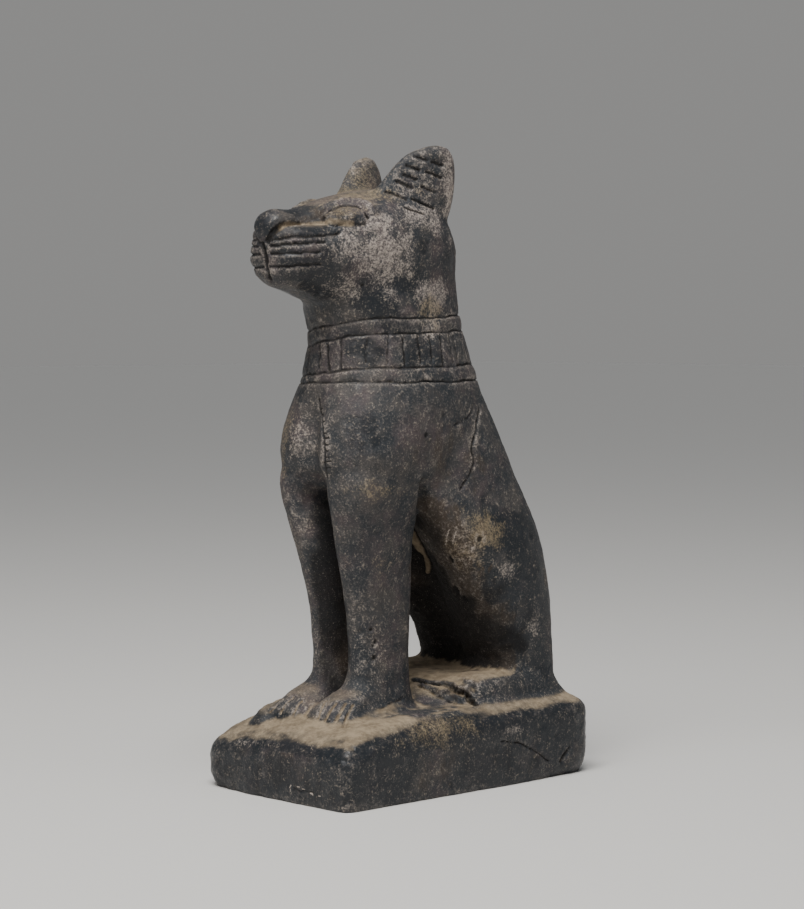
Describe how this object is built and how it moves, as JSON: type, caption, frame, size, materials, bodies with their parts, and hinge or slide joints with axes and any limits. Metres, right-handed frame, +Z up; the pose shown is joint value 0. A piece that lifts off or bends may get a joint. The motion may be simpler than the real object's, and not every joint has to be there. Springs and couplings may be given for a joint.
{
  "type": "seated cat statue",
  "caption": "Statue of a slender cat seated upright on a rounded rectangular plinth, carved from dark stone, with a banded collar, grooved ears and carved whiskers.",
  "frame": {"origin": "centre of the plinth's flat underside", "axes": "the cat faces -Y, +Z is up, and the cat's left side is +X"},
  "size_m": [0.111, 0.1811, 0.3195],
  "materials": {
    "stone": "dark carved stone, dull sheen where it is handled, pitted, with pale dust on its upper surfaces"
  },
  "bodies": {
    "root": {"statue": "stone"}
  },
  "joints": []
}
